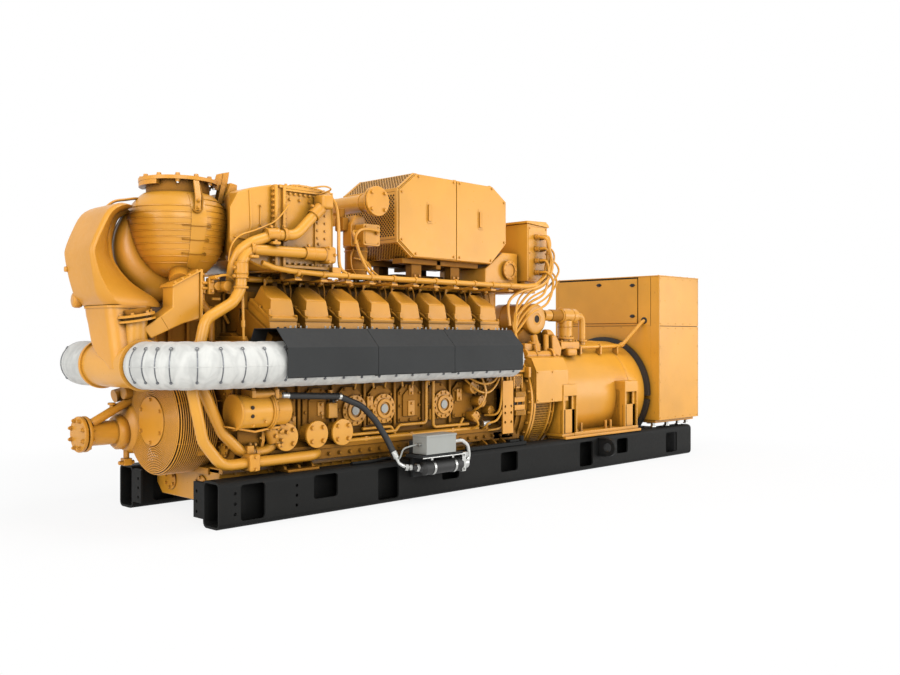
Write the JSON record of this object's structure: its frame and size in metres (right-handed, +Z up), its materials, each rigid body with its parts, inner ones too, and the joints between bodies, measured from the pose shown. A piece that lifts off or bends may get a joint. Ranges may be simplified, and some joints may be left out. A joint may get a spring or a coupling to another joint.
{
  "type": "gas generator set",
  "caption": "Skid-mounted gas engine generator set: vee engine with turbocharger, wrapped manifolds, air cleaner, alternator and terminal box on two hollow steel rails.",
  "frame": {"origin": "middle of the set's overall box on the floor, between the two rails", "axes": "+X along the set from the engine's damper end to the alternator's terminal box, +Y to the set's right-hand side when looking towards the damper end, +Z up"},
  "size_m": [6.404, 1.76, 2.505],
  "materials": {
    "engine_paint": "gloss golden-yellow enamel",
    "black_paint": "satin charcoal paint",
    "insulation": "pale coated blanket",
    "grey_enclosure": "satin grey",
    "rubber": "matte black"
  },
  "bodies": {
    "root": {"skid_rail_left": "black_paint", "skid_rail_right": "black_paint", "cross_members": "black_paint", "lifting_lugs": "black_paint", "engine_feet": "engine_paint", "oil_pan": "engine_paint", "crankcase": "engine_paint", "crankcase_covers": "engine_paint", "gear_housing": "engine_paint", "damper_guard": "engine_paint", "cylinder_heads": "engine_paint", "valve_covers_left": "engine_paint", "valve_covers_right": "engine_paint", "intake_manifold": "engine_paint", "exhaust_manifold_left": "insulation", "exhaust_manifold_right": "insulation", "heat_shield_left": "black_paint", "heat_shield_right": "black_paint", "exhaust_y_piece": "engine_paint", "exhaust_riser": "engine_paint", "turbo_volute": "engine_paint", "turbine_housing": "engine_paint", "exhaust_flange": "engine_paint", "bypass_duct": "engine_paint", "aftercooler_transition": "engine_paint", "aftercooler": "engine_paint", "coolant_pipes": "engine_paint", "water_pump": "engine_paint", "regulator_housing": "engine_paint", "heater_hose": "rubber", "jacket_heater": "grey_enclosure", "air_cleaner_housing": "engine_paint", "air_cleaner_doors": "engine_paint", "air_cleaner_stand": "engine_paint", "gas_inlet": "engine_paint", "control_box": "engine_paint", "inlet_duct": "engine_paint", "wiring_conduit": "engine_paint", "breather": "engine_paint", "flywheel_housing": "engine_paint", "alternator_adapter": "engine_paint", "alternator": "engine_paint", "seal_ring": "rubber", "terminal_box": "engine_paint", "terminal_box_cover": "engine_paint"}
  },
  "joints": []
}
